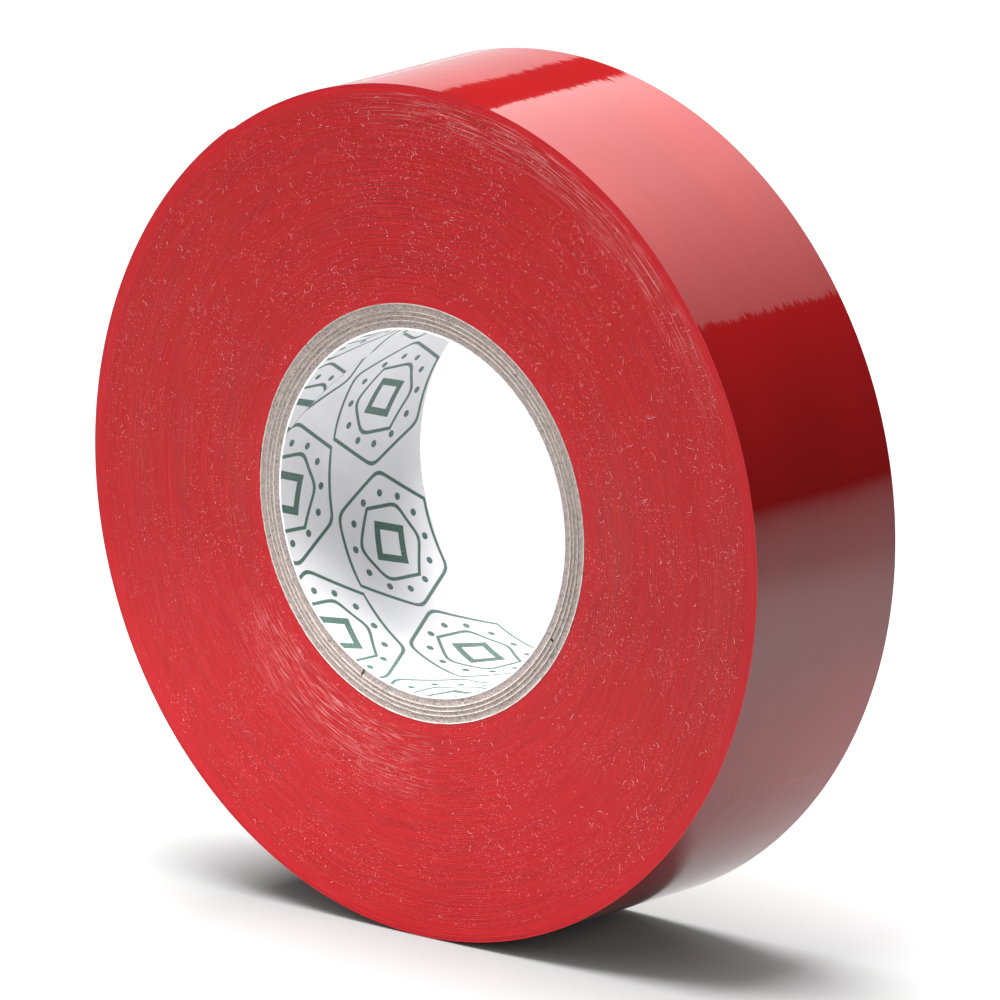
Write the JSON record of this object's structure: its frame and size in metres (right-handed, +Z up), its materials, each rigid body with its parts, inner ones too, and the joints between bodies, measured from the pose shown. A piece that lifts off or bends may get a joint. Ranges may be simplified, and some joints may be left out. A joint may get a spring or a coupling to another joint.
{
  "type": "electrical tape roll",
  "caption": "Roll of thin vinyl electrical tape wound on a plied board core with a printed paper liner; the tape's free end peels back.",
  "frame": {"origin": "centre of the roll, on its axis and midway between its side faces", "axes": "+Y along the roll's axis, from the front face to the back face; +Z up as the roll stands on its rim; +X to the right seen from the front"},
  "size_m": [0.0775, 0.019, 0.0773],
  "materials": {
    "red_vinyl": "glossy on the rim, cut and dull on the side faces",
    "core_board": "matt",
    "liner_paper": "smooth matt paper with a green print"
  },
  "bodies": {
    "roll": {"printed_liner": "liner_paper", "core_ply_1": "core_board", "core_ply_2": "core_board", "core_ply_3": "core_board", "core_ply_4": "core_board", "wound_tape": "red_vinyl"},
    "free_end": {"free_end": "red_vinyl"}
  },
  "joints": [
    {"name": "peel_free_end", "type": "hinge", "parent": "roll", "child": "free_end", "pos_m": [-0.03533, 0, 0.01601], "axis": [0, -1, 0], "range_deg": [0, 140]}
  ]
}
